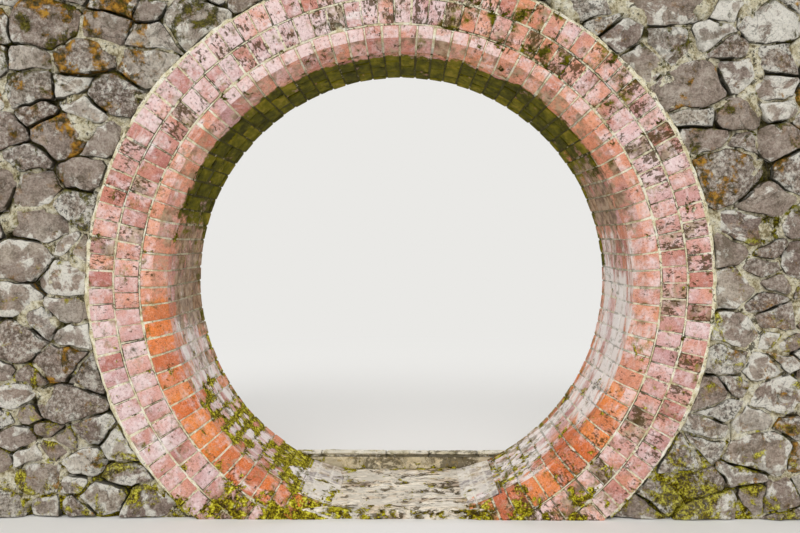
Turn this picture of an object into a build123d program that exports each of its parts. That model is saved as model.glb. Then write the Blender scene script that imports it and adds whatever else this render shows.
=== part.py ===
from build123d import *
import math
import os

# Moon gate: a round opening ringed in brick through a thick wall of random rubble, under a slab coping.
# Millimetres. The wall runs along X, its front face looks to -Y, and Z = 0 is the ground at its foot.

# Brick and mortar
brick_length = 215.0
brick_width = 102.5
bed_joint = 10.0
joint_recess = 4.0
wall_brick_count = 3

# Round opening, and the threshold that cuts off the foot of its circle
opening_radius = 1015.0
arris_chamfer = 51.0
foot_cut_off = 50.0
foot_lap = 9.0

# Threshold stone and the step up at the rear of the passage
threshold_height = 45.0
step_rise = 92.0
step_tread = 60.0
step_slab_thickness = 30.0
step_nosing = 15.0

# Mortar haunching in the corners between the threshold and the brickwork
haunch_angle = 27.0
haunch_spread = 45.0

# Rubble walling: its face stands back from the brick face
rubble_setback = 15.0
collar_cover = 22.0
side_cover = 85.0
crown_cover = 78.0
side_wall_length = 920.0
parapet_height = 215.0

# Coping of stone slabs
coping_bays = 6
coping_joint = 10.0
coping_overhang = 40.0
coping_thickness = 75.0
coping_arris = 10.0

# Room left between curved faces that bear on each other
seat_gap = 0.3

# Wall and ring sizes that follow from the brick
wall_thickness = wall_brick_count * (brick_length + bed_joint) - bed_joint
face_y = wall_thickness / 2
rubble_y = face_y - rubble_setback
course_depth = brick_width + bed_joint
inner_ring_radius = opening_radius + brick_width
middle_ring_radius = inner_ring_radius + course_depth
outer_ring_radius = middle_ring_radius + course_depth
rubble_radius = outer_ring_radius + bed_joint

# Heights and lengths
centre_height = threshold_height + opening_radius - foot_cut_off
sill_drop = centre_height - threshold_height
sill_half_width = math.sqrt(opening_radius**2 - sill_drop**2)
foot_half_width = sill_half_width - foot_lap
surround_half_width = rubble_radius + side_cover
surround_top = centre_height + rubble_radius + crown_cover
wall_height = surround_top + parapet_height
wall_half_length = surround_half_width + side_wall_length
step_height = threshold_height + step_rise
step_front_y = face_y - step_tread
riser_front_y = step_front_y + step_nosing

ring_axis = Axis((0, 0, centre_height), (0, 1, 0))
ring_plane = Plane.XY.offset(centre_height)
sides = {"left": -1, "right": 1}
levels = {"lower": -1, "upper": 1}


def block(x_low, x_high, y_low, y_high, z_low, z_high):
    """A rectangular block between two corners."""
    size = (x_high - x_low, y_high - y_low, z_high - z_low)
    middle = ((x_low + x_high) / 2, (y_low + y_high) / 2, (z_low + z_high) / 2)
    return Pos(*middle) * Box(*size)


def turned(points):
    """A full ring about the opening's axis, from its section as (radius, y) points."""
    section = make_face(ring_plane * Polyline(*points, close=True))
    return revolve(section, axis=ring_axis)


def quarter(side, level):
    """The block that holds one quarter of everything built round the opening, from the ground up."""
    x_end = sides[side] * surround_half_width
    z_end = surround_top if levels[level] > 0 else 0.0
    return block(min(0.0, x_end), max(0.0, x_end), -face_y, face_y,
                 min(centre_height, z_end), max(centre_height, z_end))


def mirrored(points, facing):
    """Section points written for the rear of the wall, turned to the face that looks to -Y or +Y."""
    return [(radius, facing * y) for radius, y in points]


def opening_void(clearance):
    """The passage itself: a cylinder that flares at each face to the width of the chamfer."""
    radius = opening_radius - clearance
    flare = radius + arris_chamfer
    flat_y = face_y - arris_chamfer
    return turned([(0, -face_y), (flare, -face_y), (radius, -flat_y), (radius, flat_y), (flare, face_y), (0, face_y)])


def inner_ring():
    """The ring of long and short chamfered bricks that lines the passage from face to face."""
    flare = opening_radius + arris_chamfer
    flat_y = face_y - arris_chamfer
    ring = turned([(flare, -face_y), (inner_ring_radius, -face_y), (inner_ring_radius, face_y),
                   (flare, face_y), (opening_radius, flat_y), (opening_radius, -flat_y)])
    foot = foot_half_width + seat_gap
    return ring - block(-foot, foot, -face_y, face_y, 0, threshold_height)


def face_ring(inner_radius, outer_radius, facing):
    """One ring of headers seen on a face, with its bed joint struck back to the ring below."""
    bed = inner_radius + bed_joint
    back = face_y - brick_length
    struck = face_y - joint_recess
    points = [(inner_radius + seat_gap, back), (outer_radius, back), (outer_radius, face_y),
              (bed, face_y), (inner_radius + seat_gap, struck)]
    return turned(mirrored(points, facing))


def ring_core():
    """Rubble hearting between the front and rear header rings."""
    depth = face_y - brick_length
    return turned([(inner_ring_radius + seat_gap, -depth), (rubble_radius - seat_gap, -depth),
                   (rubble_radius - seat_gap, depth), (inner_ring_radius + seat_gap, depth)])


def mortar_collar(facing):
    """Bed of mortar on the back of the outer ring, struck at the face into a sloping fillet over the stones."""
    inner = outer_ring_radius + seat_gap
    outer = rubble_radius - seat_gap
    cover = outer_ring_radius + collar_cover
    back = face_y - brick_length
    tip = face_y - joint_recess
    points = [(inner, back), (outer, back), (outer, rubble_y), (cover, rubble_y), (inner, tip)]
    above_ground = block(-surround_half_width, surround_half_width, -face_y, face_y, 0, surround_top)
    return turned(mirrored(points, facing)) & above_ground


def spandrel(side, level):
    """Rubble walling in one corner between the rings and the squared-off surround."""
    x_end = sides[side] * surround_half_width
    z_end = surround_top if levels[level] > 0 else 0.0
    corner = block(min(0.0, x_end), max(0.0, x_end), -rubble_y, rubble_y,
                   min(centre_height, z_end), max(centre_height, z_end))
    hole = Plane(ring_axis.position, z_dir=(0, 1, 0)) * Cylinder(rubble_radius, 2 * wall_thickness)
    return corner - hole


def end_wall(side):
    """Plain length of rubble wall beside the surround."""
    ends = sorted((sides[side] * surround_half_width, sides[side] * wall_half_length))
    return block(ends[0], ends[1], -rubble_y, rubble_y, 0, wall_height)


def crown_wall():
    """Rubble walling over the surround."""
    return block(-surround_half_width, surround_half_width, -rubble_y, rubble_y, surround_top, wall_height)


def between_feet():
    """Everything that lies inside the circle or between the two feet of the inner ring."""
    slot = block(-foot_half_width, foot_half_width, -face_y, face_y, 0, threshold_height)
    return opening_void(seat_gap) + slot


def threshold(space):
    """Sill stone scribed to the brickwork, from the front face back to the step."""
    reach = surround_half_width
    return space & block(-reach, reach, -face_y, riser_front_y, 0, threshold_height)


def step_riser(space):
    """Stone under the step, set back behind its nosing."""
    reach = surround_half_width
    return space & block(-reach, reach, riser_front_y, face_y, 0, step_height - step_slab_thickness)


def step_slab(space):
    """Slab on top of the step, with its nosing over the riser."""
    reach = surround_half_width
    slab = space & block(-reach, reach, step_front_y, face_y, step_height - step_slab_thickness, step_height)
    return slab


def haunching(side):
    """Mortar fillet in the corner where the passage meets the threshold."""
    radius = opening_radius - seat_gap
    half_width = math.sqrt(radius**2 - sill_drop**2)
    start = math.degrees(math.asin(half_width / radius))

    def on_circle(angle):
        turn = math.radians(angle)
        return (radius * math.sin(turn), -radius * math.cos(turn))

    toe = (half_width - haunch_spread, -sill_drop)
    low = (half_width, -sill_drop)
    high = on_circle(haunch_angle)
    curve = ThreePointArc(low, on_circle((start + haunch_angle) / 2), high)
    outline = Line(toe, low) + curve + Line(high, toe)
    front = Plane(origin=(0, -face_y + arris_chamfer, centre_height), x_dir=(1, 0, 0), z_dir=(0, -1, 0))
    fillet_body = extrude(front * make_face(outline), -(step_front_y + face_y - arris_chamfer))
    return fillet_body if sides[side] > 0 else mirror(fillet_body, about=Plane.YZ)


def coping_slab(bay):
    """One slab of the coping, laid flat on the wall head and overhanging both faces."""
    bay_length = 2 * (wall_half_length + coping_overhang) / coping_bays
    x_middle = (bay - (coping_bays - 1) / 2) * bay_length
    depth = 2 * (rubble_y + coping_overhang + rubble_setback)
    slab = Box(bay_length - coping_joint, depth, coping_thickness)
    slab = chamfer(slab.edges().group_by(Axis.Z)[-1], coping_arris)
    return Pos(x_middle, 0, wall_height + coping_thickness / 2) * slab


def gate_pieces():
    """Every piece of the gate by name."""
    rings = {"inner_ring": inner_ring(), "core": ring_core()}
    for face, facing in {"front": -1, "rear": 1}.items():
        rings[f"{face}_middle_ring"] = face_ring(inner_ring_radius, middle_ring_radius, facing)
        rings[f"{face}_outer_ring"] = face_ring(middle_ring_radius, outer_ring_radius, facing)

    pieces = {}
    for side in sides:
        for level in levels:
            part = quarter(side, level)
            for name, ring in rings.items():
                pieces[f"{name}_{level}_{side}"] = ring & part
            pieces[f"spandrel_{level}_{side}"] = spandrel(side, level)
        pieces[f"{side}_wall"] = end_wall(side)
        pieces[f"{side}_haunching"] = haunching(side)
    pieces["crown_wall"] = crown_wall()
    pieces["front_mortar_collar"] = mortar_collar(-1)
    pieces["rear_mortar_collar"] = mortar_collar(1)
    space = between_feet()
    pieces["threshold"] = threshold(space)
    pieces["step_riser"] = step_riser(space)
    pieces["step_slab"] = step_slab(space)
    for bay in range(coping_bays):
        pieces[f"coping_slab_{bay + 1}"] = coping_slab(bay)
    return pieces


os.makedirs("parts", exist_ok=True)
for name, piece in gate_pieces().items():
    export_step(piece, f"parts/{name}.step")
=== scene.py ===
import bmesh
import bpy
import math
import numpy as np
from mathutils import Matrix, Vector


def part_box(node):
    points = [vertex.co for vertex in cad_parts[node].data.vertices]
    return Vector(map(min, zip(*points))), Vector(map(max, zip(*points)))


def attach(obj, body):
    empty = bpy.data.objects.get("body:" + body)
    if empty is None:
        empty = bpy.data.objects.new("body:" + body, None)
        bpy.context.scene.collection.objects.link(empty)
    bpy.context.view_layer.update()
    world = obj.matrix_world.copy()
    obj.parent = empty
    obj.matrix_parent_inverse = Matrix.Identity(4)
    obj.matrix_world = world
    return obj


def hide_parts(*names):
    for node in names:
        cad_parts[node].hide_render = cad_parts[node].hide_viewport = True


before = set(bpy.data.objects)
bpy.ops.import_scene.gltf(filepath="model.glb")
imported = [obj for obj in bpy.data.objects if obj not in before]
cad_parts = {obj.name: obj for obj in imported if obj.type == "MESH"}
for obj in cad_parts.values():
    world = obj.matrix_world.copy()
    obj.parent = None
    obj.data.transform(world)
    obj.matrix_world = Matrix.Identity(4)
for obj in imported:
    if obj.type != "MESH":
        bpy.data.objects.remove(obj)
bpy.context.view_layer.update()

# A moon gate of brick and rubble. Metres, the front face looks to -Y, and angles round the opening
# run clockwise from the crown as seen from the front.
BRICK_LENGTH = 0.215
BRICK_WIDTH = 0.1025
BRICK_HEIGHT = 0.065
BED = 0.010
CHAMFER = 0.051
JOINT_RECESS = 0.0035

ring_low, ring_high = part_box("inner_ring_upper_right")
CENTRE_Z = ring_low[2]
FACE_Y = ring_high[1]
INNER_OUT = ring_high[0]
OPEN_R = INNER_OUT - BRICK_WIDTH
MIDDLE_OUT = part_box("front_middle_ring_upper_right")[1][0]
OUTER_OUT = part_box("front_outer_ring_upper_right")[1][0]
WALL_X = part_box("right_wall")[1][0]
WALL_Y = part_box("right_wall")[1][1]
WALL_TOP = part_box("right_wall")[1][2]
SURROUND_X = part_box("crown_wall")[1][0]
SURROUND_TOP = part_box("crown_wall")[0][2]
SILL_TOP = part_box("threshold")[1][2]
FOOT_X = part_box("inner_ring_lower_right")[0][0]

INNER_COURSES = 92
MIDDLE_COURSES = 104
OUTER_COURSES = 112
MIDDLE_PHASE = 0.7
SEED = 8560


# Helpers: noise, soft steps and colours

def hashed(ix, iy, iz, seed):
    """Repeatable numbers from 0 to 1 for whole-numbered cells."""
    h = (ix * 73856093) ^ (iy * 19349663) ^ (iz * 83492791) ^ (seed * 26544357)
    h = h & 0xFFFFFFFF
    h = ((h ^ (h >> 15)) * 224682251) & 0xFFFFFFFF
    h = ((h ^ (h >> 13)) * 326648991) & 0xFFFFFFFF
    return ((h ^ (h >> 16)) & 0xFFFFFF) / 0xFFFFFF


def noise(points, scale, seed):
    """Smooth noise from -1 to 1, with one bump to each `scale` metres."""
    scaled = np.asarray(points, dtype=float) / scale
    cell = np.floor(scaled).astype(np.int64)
    part = scaled - cell
    part = part * part * (3 - 2 * part)
    total = 0.0
    for dx in (0, 1):
        wx = part[..., 0] if dx else 1 - part[..., 0]
        for dy in (0, 1):
            wy = part[..., 1] if dy else 1 - part[..., 1]
            for dz in (0, 1):
                wz = part[..., 2] if dz else 1 - part[..., 2]
                value = hashed(cell[..., 0] + dx, cell[..., 1] + dy, cell[..., 2] + dz, seed)
                total = total + wx * wy * wz * value
    return 2 * total - 1


def rough(points, scale, seed, octaves=3):
    """Noise with finer noise added to it."""
    total = 0.0
    for octave in range(octaves):
        total = total + noise(points, scale / 2**octave, seed + octave) / 2**octave
    return total / (2 - 2 ** (1 - octaves))


def soft(value, start, end):
    """0 at start and 1 at end, eased between them."""
    part = np.clip((value - start) / (end - start), 0.0, 1.0)
    return part * part * (3 - 2 * part)


def band(value, low, high, fade):
    """1 between low and high, fading to 0 outside."""
    return soft(value, low - fade, low) * (1 - soft(value, high, high + fade))


def linear(red, green, blue):
    """A colour as 0 to 255 screen values, in linear light."""
    parts = []
    for part in (red, green, blue):
        part = part / 255
        parts.append(part / 12.92 if part <= 0.04045 else ((part + 0.055) / 1.055) ** 2.4)
    return (*parts, 1.0)


# Helpers: meshes

class Shell:
    """Vertices and faces gathered into one mesh, with two layers of marks and a tone at each vertex."""

    def __init__(self):
        self.points = []
        self.faces = []
        self.stains = []
        self.films = []
        self.tones = []
        self.count = 0

    def add(self, points, faces, stain, tone, film):
        for group in faces:
            self.faces.extend((np.asarray(group) + self.count).tolist())
        self.points.append(points)
        self.stains.append(stain)
        self.films.append(film)
        self.tones.append(np.full(len(points), tone))
        self.count += len(points)

    def mesh(self, name):
        mesh = bpy.data.meshes.new(name)
        mesh.from_pydata(np.concatenate(self.points).tolist(), [], self.faces)
        mark(mesh, np.concatenate(self.stains), np.concatenate(self.films), np.concatenate(self.tones))
        return mesh


def mark(mesh, stain, film, tone):
    """Stores the weathering marks and tones on a mesh and shades it smooth."""
    layers = (("stain", "FLOAT_COLOR", "color", stain), ("film", "FLOAT_COLOR", "color", film),
              ("tone", "FLOAT", "value", tone))
    for name, kind, key, values in layers:
        layer = mesh.attributes.new(name, kind, "POINT")
        layer.data.foreach_set(key, np.asarray(values, dtype=np.float32).ravel())
    mesh.polygons.foreach_set("use_smooth", [True] * len(mesh.polygons))
    mesh.update()


def layer(*values):
    """One layer of marks from its four values, each kept from 0 to 1."""
    return np.clip(np.stack(np.broadcast_arrays(*values), axis=-1), 0, 1)


def place(mesh, material, slot, *nodes):
    """A finished piece that stands for one or more CAD nodes."""
    piece = bpy.data.objects.new(mesh.name, mesh)
    bpy.context.scene.collection.objects.link(piece)
    mesh.materials.append(material)
    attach(piece, "root")
    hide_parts(*nodes)
    return piece


def cut(mesh, point, normal):
    """Cuts away what lies behind a plane and closes the cut."""
    cutter = bmesh.new()
    cutter.from_mesh(mesh)
    every = cutter.verts[:] + cutter.edges[:] + cutter.faces[:]
    result = bmesh.ops.bisect_plane(cutter, geom=every, dist=1e-6, plane_co=point, plane_no=normal,
                                    clear_inner=True)
    rim = [part for part in result["geom_cut"] if isinstance(part, bmesh.types.BMEdge)]
    bmesh.ops.holes_fill(cutter, edges=rim)
    cutter.to_mesh(mesh)
    cutter.free()
    mesh.update()


def trim(mesh, quarter, lining=False):
    """Cuts a lower quarter off at the ground, and the lining also where the threshold begins."""
    if quarter.startswith("lower"):
        cut(mesh, (0, 0, 0), (0, 0, 1))
        if lining:
            side = 1 if quarter.endswith("right") else -1
            cut(mesh, (side * FOOT_X, 0, 0), (side, 0, 0))


def outline(corners, radius, parts):
    """A rounded section outline, anticlockwise, with each side split into its number of parts."""
    count = len(corners)
    area = sum(corners[i][0] * corners[(i + 1) % count][1] - corners[(i + 1) % count][0] * corners[i][1]
               for i in range(count))
    if area < 0:
        corners = corners[::-1]
        parts = parts[::-1][1:] + parts[::-1][:1]
    corners = [np.array(corner, dtype=float) for corner in corners]
    arcs = []
    for i in range(count):
        before = corners[i] - corners[i - 1]
        after = corners[(i + 1) % count] - corners[i]
        before = before / np.linalg.norm(before)
        after = after / np.linalg.norm(after)
        turn = math.acos(max(-1.0, min(1.0, float(before @ after))))
        reach = radius * math.tan(turn / 2)
        out_before = np.array([before[1], -before[0]])
        out_after = np.array([after[1], -after[0]])
        middle = corners[i] - before * reach - out_before * radius
        between = out_before + out_after
        between = between / np.linalg.norm(between)
        arcs.append([(middle + way * radius, way) for way in (out_before, between, out_after)])
    points = []
    normals = []
    for i in range(count):
        for point, way in arcs[i]:
            points.append(point)
            normals.append(way)
        start, way = arcs[i][-1]
        end = arcs[(i + 1) % count][0][0]
        for step in range(1, parts[i]):
            points.append(start + (end - start) * step / parts[i])
            normals.append(way)
    return np.array(points), np.array(normals)


def loft_faces(stations, around):
    """Quads along a loft and triangles that close its ends."""
    quads = []
    for s in range(stations - 1):
        for p in range(around):
            q = (p + 1) % around
            quads.append((s * around + p, s * around + q, (s + 1) * around + q, (s + 1) * around + p))
    first = stations * around
    last = first + 1
    base = (stations - 1) * around
    tris = [(first, (p + 1) % around, p) for p in range(around)]
    tris += [(last, base + p, base + (p + 1) % around) for p in range(around)]
    return quads, tris


def capped(rows):
    """The rows of a loft, then the middle of the first and the last row, to close its ends."""
    return np.vstack([*rows, rows[0].mean(axis=0)[None], rows[-1].mean(axis=0)[None]])


def swept(section, angles):
    """Rows of a loft: a section of (radius, y) points at each angle round the opening."""
    return capped([round_gate(section[:, 0], angle, section[:, 1]) for angle in angles])


def round_gate(radius, angle, y):
    """Points at a radius and angle round the opening."""
    return np.stack([radius * np.sin(angle), y, CENTRE_Z + radius * np.cos(angle)], axis=-1)


def polar(points):
    """Radius and angle in degrees, from 0 to 360, of points round the opening."""
    dx = points[..., 0]
    dz = points[..., 2] - CENTRE_Z
    return np.hypot(dx, dz), np.degrees(np.arctan2(dx, dz)) % 360


# Weathering of the brickwork. Stain: moss, pale bloom, dark specks, and how orange the brick still is.
# Film: green algae, grey-brown grime and painted shade, white lime wash, and how deep a red the brick has.

def arcs(angle, *zones):
    """The sum of bands round the opening, each as its strength, first and last angle and fade.

    A band that starts left of the crown has a first angle below 0.
    """
    signed = (angle + 180) % 360 - 180
    total = 0.0
    for strength, first, last, fade in zones:
        total = total + strength * band(signed if first < 0 else angle, first, last, fade)
    return total


def reveal_marks(points, special, patch):
    """Moss, bloom and three films, algae, grime and lime, on the bricks that line the passage."""
    _, angle = polar(points)
    depth = FACE_Y + points[..., 1]
    wander = noise(points, 0.09, SEED + 13)
    inside = soft(depth + 0.04 * wander, 0.12, 0.21)
    middle_depth = band(depth + 0.05 * wander, 0.16, 0.40, 0.09)
    streak = band(depth + 0.025 * wander, 0.19, 0.29, 0.05)
    rear = soft(depth, 0.38, 0.50)
    rearmost = soft(depth, 0.50, 0.60)
    late = arcs(angle, (0.034, -27, 24, 8), (0.012, -20, 50, 8))
    front = soft(depth + 0.035 * wander - late, 0.055, 0.120)
    moss = arcs(angle, (0.10, -60, 44, 20), ((0.60 + 0.24 * inside) * patch, 204, 238, 10),
                (0.24 * patch, 126, 152, 10), (0.16, 284, 300, 6),
                (0.55 * rearmost * patch, 206, 262, 10), (0.20 * rearmost, 108, 140, 8))
    bloom = arcs(angle, (0.35 * (not special), 96, 262, 14), (0.22, 236, 274, 8))
    algae = arcs(angle, (0.24 + 0.76 * front, -62, 45, 22), (0.60 * rearmost, 50, 84, 14),
                 (0.34 * rearmost, 230, 290, 10), (0.22 * rearmost, 100, 160, 10))
    grime_and_shade = arcs(angle, (0.80 * soft(depth, 0.08, 0.20), 266, 288, 10), (0.26 * inside, 248, 266, 8),
                 (0.42 + 0.42 * inside, 58, 70, 8), (0.40 * inside, 70, 82, 6),
                 ((0.10 + 0.5 * rear) * inside * patch, 128, 162, 8), (0.62 * rear, 262, 292, 8),
                 (0.10 * inside, 210, 250, 10))
    lime = arcs(angle, (0.34 * middle_depth + 0.80 * streak, 93, 122, 10),
                (0.90 * rear * (1 - 0.7 * rearmost), 90, 136, 10), (0.46 * (1 - inside), 84, 120, 10),
                (0.62 * inside * (1 - 0.4 * rearmost), 140, 206, 8), (0.52 * (1 - inside), 148, 206, 8),
                (0.36 * (not special) + 0.14, 204, 256, 10), (0.30 * inside, 78, 90, 6))
    return moss, bloom, algae, grime_and_shade, lime


def brick_marks(points, near_face, ring, special, edge, luck):
    """Both layers of marks at points of the brickwork, from how far each lies behind the wall's face."""
    radius, angle = polar(points)
    broad = noise(points, 0.30, SEED + 11)
    middle = noise(points, 0.11, SEED + 12)
    reveal = soft(near_face, CHAMFER * 0.985, CHAMFER * 1.01) * (radius < OPEN_R + 0.03)
    outside = 1 - reveal
    shallow = 1 - soft(FACE_Y + points[..., 1] + 0.05 * middle, 0.22, 0.32)
    foot = 1 - soft(points[..., 2], 0.03, 0.22 + 0.12 * broad)
    patch = np.clip(0.75 + 0.9 * middle, 0, None)
    moss, bloom, algae, grime_and_shade, lime = [reveal * mark for mark in reveal_marks(points, special, patch)]
    moss = moss * (0.35 + 0.85 * edge) + foot * np.where(angle > 180, 0.60, 0.32) * (0.8 + 0.5 * middle)
    algae = algae * (0.94 + 0.12 * luck[1])

    if ring == "inner":
        chamfered = outside * soft(near_face, 0.0003, 0.0009)
        face = outside * (1 - chamfered)
        moss = moss + outside * patch * arcs(angle, (0.46, 203, 220, 8), (0.08, 132, 150, 6))
        bloom = bloom + arcs(angle, (face, -40, 18, 9), (0.46 * face, 76, 114, 10),
                             (0.26 * face, 272, 314, 10), (0.34 * face, 24, 62, 8),
                             (0.42 * chamfered, 72, 108, 8), (0.10 * chamfered, -60, 30, 8))
        bloom = bloom * (0.55 + 0.80 * luck[1])
        specks = arcs(angle, (0.80 * (1 - reveal * (1 - shallow)), 118, 156, 5),
                      (0.50 * outside, 205, 224, 6), (0.12 * face, -90, 70, 10))
        # Painted shade: round the crown the chamfer faces down, so there it is made less fresh and orange
        # (the -0.12).
        fresh = arcs(angle, (1.0, 205, 240, 6), (0.90, 246, 262, 8), (0.46, 268, 308, 8), (0.26, -46, 14, 6),
                     (0.62, 20, 60, 6), (0.36, 66, 104, 6), (0.56, 109, 114, 5), (1.0, 118, 162, 6),
                     (-0.12 * chamfered, -84, 74, 10))
        kept = 1.0 if special else 0.15 + 0.85 * shallow * band(angle, 116, 152, 5)
        fresh = fresh * kept * (1 - 0.3 * reveal * (angle > 180)) + 0.24 * (luck[0] - 0.5)
        # Painted shade: the chamfer round the crown, which faces down, is darkened with the grime film.
        grime_and_shade = grime_and_shade + arcs(angle, (0.40 * chamfered, -86, 74, 14))
        red = arcs(angle, (0.20, 54, 84, 8))
    else:
        moss = moss + patch * arcs(angle, (0.30, 134, 160, 6), (0.46, 198, 219, 6), (0.24 * edge, 11, 46, 6))
        bloom = bloom + 0.56 + 0.20 * broad
        bloom = bloom + arcs(angle, (0.22, -46, 2, 8), (0.14, 248, 262, 6), (-0.26, 8, 50, 6),
                             (-0.08, 205, 262, 8), (-0.12, 264, 300, 6), (-0.20, 84, 130, 8))
        bloom = bloom * (0.30 + 1.20 * luck[1])
        specks = 0.12 + arcs(angle, (0.42, -62, 75, 14), (0.24, 8, 50, 6), (0.24, 268, 300, 8),
                             (0.34, 84, 130, 8), (-0.14, 222, 262, 8))
        fresh = 0.08 + 0.36 * (luck[0] - 0.45)
        fresh = fresh + arcs(angle, (0.04, 264, 292, 6), (0.24, 11, 46, 6), (0.7, 138, 146, 3))
        algae = algae + arcs(angle, (0.30 * patch * edge, 10, 48, 6))
        grime_and_shade = grime_and_shade + 0.45 * (luck[2] > 0.90)
        grime_and_shade = grime_and_shade + arcs(angle, (0.06, -90, 78, 14), (0.34 * patch, 134, 160, 6),
                             (0.34 * patch, 198, 219, 6))
        red = 0.22 * arcs(angle, (luck[0] < 0.4, 262, 304, 6), (0.8, 84, 130, 8))

    moss = moss * (0.7 + 0.6 * luck[0])
    specks = (specks + 0.36 * foot) * (0.35 + 1.35 * luck[2] ** 2) * (0.36 + 1.04 * edge)
    fresh = fresh + 0.08 * middle
    algae = algae + 0.20 * foot
    grime_and_shade = grime_and_shade + 0.20 * foot * patch
    red = red + 0.04 + 0.50 * (luck[1] < 0.14) + 0.08 * broad
    return layer(moss, bloom, specks, fresh), layer(algae, grime_and_shade, lime, red)


# Bricks

SIDE_STATIONS = ((-1.0, 0.0, 1.0), (-1.0, 0.3, 0.3), (-1.0, 1.0, 0.0), (-0.33, 0.0, 0.0),
                 (0.33, 0.0, 0.0), (1.0, -1.0, 0.0), (1.0, -0.3, 0.3), (1.0, 0.0, 1.0))
ARRIS = 0.0035
UNEVEN_THICKNESS = (-0.035, 0.02)
BRICK_TILT = 0.006
BRICK_SHIFT = (0.0011, 0.0010, 0.0010)
WORN = 0.0011
WORN_ABOVE = 0.0009
INNER_CHIPS = 0.6
FACE_CHIPS = 1.1
CHIP_REACH = (0.008, 0.020)
CHIP_DEPTH = (0.02, 0.05)


def brick_template(corners, parts, special):
    """A brick lofted across its thickness, as (radial, y, across), with how near each point is to a joint."""
    section, normals = outline(corners, ARRIS, parts)
    half = BRICK_HEIGHT / 2
    rows = []
    for share, inward, inset in SIDE_STATIONS:
        row = section - normals * ARRIS * inset
        across = np.full((len(row), 1), share * half + inward * ARRIS)
        rows.append(np.hstack([row, across]))
    middle = section.mean(axis=0)
    ends = np.array([[middle[0], middle[1], -half], [middle[0], middle[1], half]])
    shape = np.vstack(rows + [ends])
    low = shape.min(axis=0)
    high = shape.max(axis=0)
    to_side = half - np.abs(shape[:, 2])
    to_end = np.minimum(shape[:, 1] - low[1], high[1] - shape[:, 1])
    edge = 1 - soft(np.minimum(to_side, to_end), 0.002, 0.024)
    return shape, edge, special, loft_faces(len(SIDE_STATIONS), len(section))


def lay_brick(shell, template, inner_radius, angle, ring, rng):
    """One brick of a ring, a little out of true, with worn arrises and a chip here and there."""
    shape, edge, special, faces = template
    local = shape.copy()
    middle = local[:-2].mean(axis=0)
    local[:, 2] *= 1 + rng.uniform(*UNEVEN_THICKNESS)
    tilt = rng.normal(0, BRICK_TILT, 3)
    local = local + np.cross(tilt, local - middle)
    local = local + rng.normal(0, BRICK_SHIFT)
    radius = inner_radius + local[:, 0]
    turn = angle - local[:, 2] / (inner_radius + middle[0])
    points = round_gate(radius, turn, local[:, 1])
    lift = rng.uniform(0, 50)
    worn = WORN + WORN_ABOVE * float(soft(math.cos(angle), 0.2, 0.9)) * (ring != "inner")
    wave = np.stack([rough(points + lift + 9.1 * k, 0.045, SEED + 20 + k, 2) for k in range(3)], axis=-1)
    points = points + worn * wave
    centre = points[:-2].mean(axis=0)
    for _ in range(rng.poisson(INNER_CHIPS if ring == "inner" else FACE_CHIPS)):
        corner = points[rng.integers(0, len(points) - 2)]
        size = rng.uniform(*CHIP_REACH)
        near = np.clip(1 - np.linalg.norm(points - corner, axis=1) / size, 0, 1)
        points = points + (centre - points) * (near * rng.uniform(*CHIP_DEPTH))[:, None]
    stain, film = brick_marks(points, FACE_Y - np.abs(shape[:, 1]), ring, special, edge, rng.random(3))
    shell.add(points, faces, stain, rng.random(), film)


def quarter_of(angle):
    """Name of the quarter that an angle lies in."""
    angle = angle % math.tau
    level = "upper" if angle < math.pi / 2 or angle >= 1.5 * math.pi else "lower"
    return f"{level}_{'right' if angle < math.pi else 'left'}"


QUARTERS = {"upper_right": 0.0, "lower_right": 0.5 * math.pi, "lower_left": math.pi,
            "upper_left": 1.5 * math.pi}
FACES = {"front": -1, "rear": 1}


def face_ring(name, inner_radius, courses, phase, material):
    """The headers of one face ring on both faces, in quarters."""
    for face, facing in FACES.items():
        rng = np.random.default_rng(SEED + courses + facing)
        back = facing * (FACE_Y - BRICK_LENGTH)
        corners = [(0, back), (BRICK_WIDTH, back), (BRICK_WIDTH, facing * FACE_Y), (0, facing * FACE_Y)]
        template = brick_template(corners, [1, 3, 5, 3], False)
        shells = {quarter: Shell() for quarter in QUARTERS}
        for course in range(courses):
            angle = (course + 0.5 + phase) * math.tau / courses
            top = CENTRE_Z + (inner_radius + BED) * math.cos(angle) + BRICK_HEIGHT / 2
            if top > 0:
                lay_brick(shells[quarter_of(angle)], template, inner_radius + BED, angle, name, rng)
        for quarter, shell in shells.items():
            mesh = shell.mesh(f"{face}_{name}_bricks_{quarter}")
            trim(mesh, quarter)
            place(mesh, material, "brick", f"{face}_{name}_ring_{quarter}")


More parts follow.
